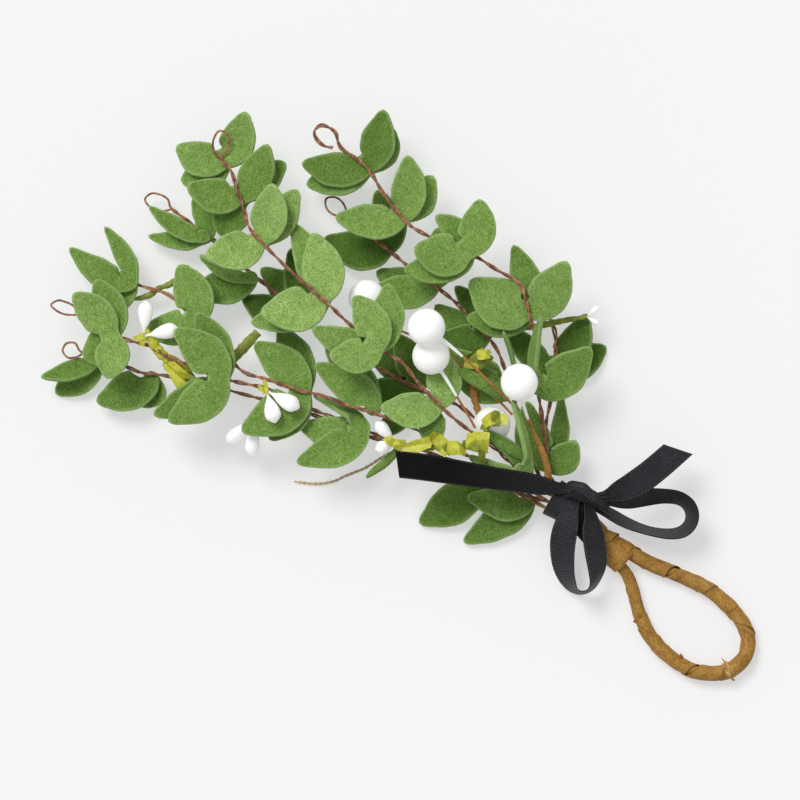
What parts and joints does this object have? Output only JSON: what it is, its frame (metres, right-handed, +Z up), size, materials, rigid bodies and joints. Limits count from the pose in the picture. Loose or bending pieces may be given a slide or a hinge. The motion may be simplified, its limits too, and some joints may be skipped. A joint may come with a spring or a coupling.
{
  "type": "artificial mistletoe bunch",
  "caption": "Artificial mistletoe bunch lying flat: felt leaves on wire sprigs, white foam berries and buds, a ribbon bow and a paper-wrapped handle bent into a hanging loop.",
  "frame": {"origin": "middle of the bunch's bounding box, on the surface it lies on", "axes": "+X from the leaf tips towards the hanging loop, +Y across the bunch, +Z up from the surface"},
  "size_m": [0.4004, 0.2062, 0.0613],
  "materials": {
    "felt": "matt wool felt with a fibrous nap",
    "paper_wire": "twisted brown paper-covered wire, satin where it is rubbed",
    "foam": "smooth white foam, matt",
    "crepe_paper": "crinkled yellow-green paper with a slight sheen on its creases",
    "kraft_paper": "brown kraft paper tape, wound in a spiral, matt",
    "ribbon_cloth": "black ribbed ribbon with a stitched selvedge",
    "twine_fibre": "rough natural twine with a frayed end"
  },
  "bodies": {
    "root": {"berry_1": "foam", "berry_2": "foam", "berry_3": "foam", "berry_4": "foam", "berry_5": "foam", "bud_pair_left": "foam", "bud_pair_low": "foam", "bud_pair_middle": "foam", "bud_pair_right": "foam", "handle_collar": "kraft_paper", "leaf_whorl_a1": "felt", "leaf_whorl_a2": "felt", "leaf_whorl_a3": "felt", "leaf_whorl_b1": "felt", "leaf_whorl_b2": "felt", "leaf_whorl_b3": "felt", "leaf_whorl_b4": "felt", "leaf_whorl_c1": "felt", "leaf_whorl_c2": "felt", "leaf_whorl_c3": "felt", "leaf_whorl_c4": "felt", "leaf_whorl_c5": "felt", "leaf_whorl_c6": "felt", "leaf_whorl_e1": "felt", "leaf_whorl_e2": "felt", "leaf_whorl_e3": "felt", "leaf_whorl_e4": "felt", "leaf_whorl_f1": "felt", "leaf_whorl_f2": "felt", "leaf_whorl_f3": "felt", "leaf_whorl_f4": "felt", "leaf_whorl_f5": "felt", "leaf_whorl_f6": "felt", "leaf_whorl_j1": "felt", "leaf_whorl_l1": "felt", "leaf_whorl_l2": "felt", "leaf_whorl_r1": "felt", "leaf_whorl_r2": "felt", "leaf_whorl_r3": "felt", "leaf_whorl_s1": "felt", "leaf_whorl_s2": "felt", "leaf_whorl_s3": "felt", "leaf_whorl_s4": "felt", "loop_tie": "kraft_paper", "ribbon_near_loop": "ribbon_cloth", "ribbon_short_tail": "ribbon_cloth", "ribbon_tail_and_far_loop": "ribbon_cloth", "ribbon_wrap": "ribbon_cloth", "sprig_wire_a": "paper_wire", "sprig_wire_b": "paper_wire", "sprig_wire_c": "paper_wire", "sprig_wire_e": "paper_wire", "sprig_wire_f": "paper_wire", "sprig_wire_j": "paper_wire", "sprig_wire_l": "paper_wire", "sprig_wire_s": "paper_wire", "torn_paper_left": "crepe_paper", "torn_paper_right": "crepe_paper", "twine_end": "twine_fibre", "wrapped_handle": "kraft_paper"}
  },
  "joints": []
}
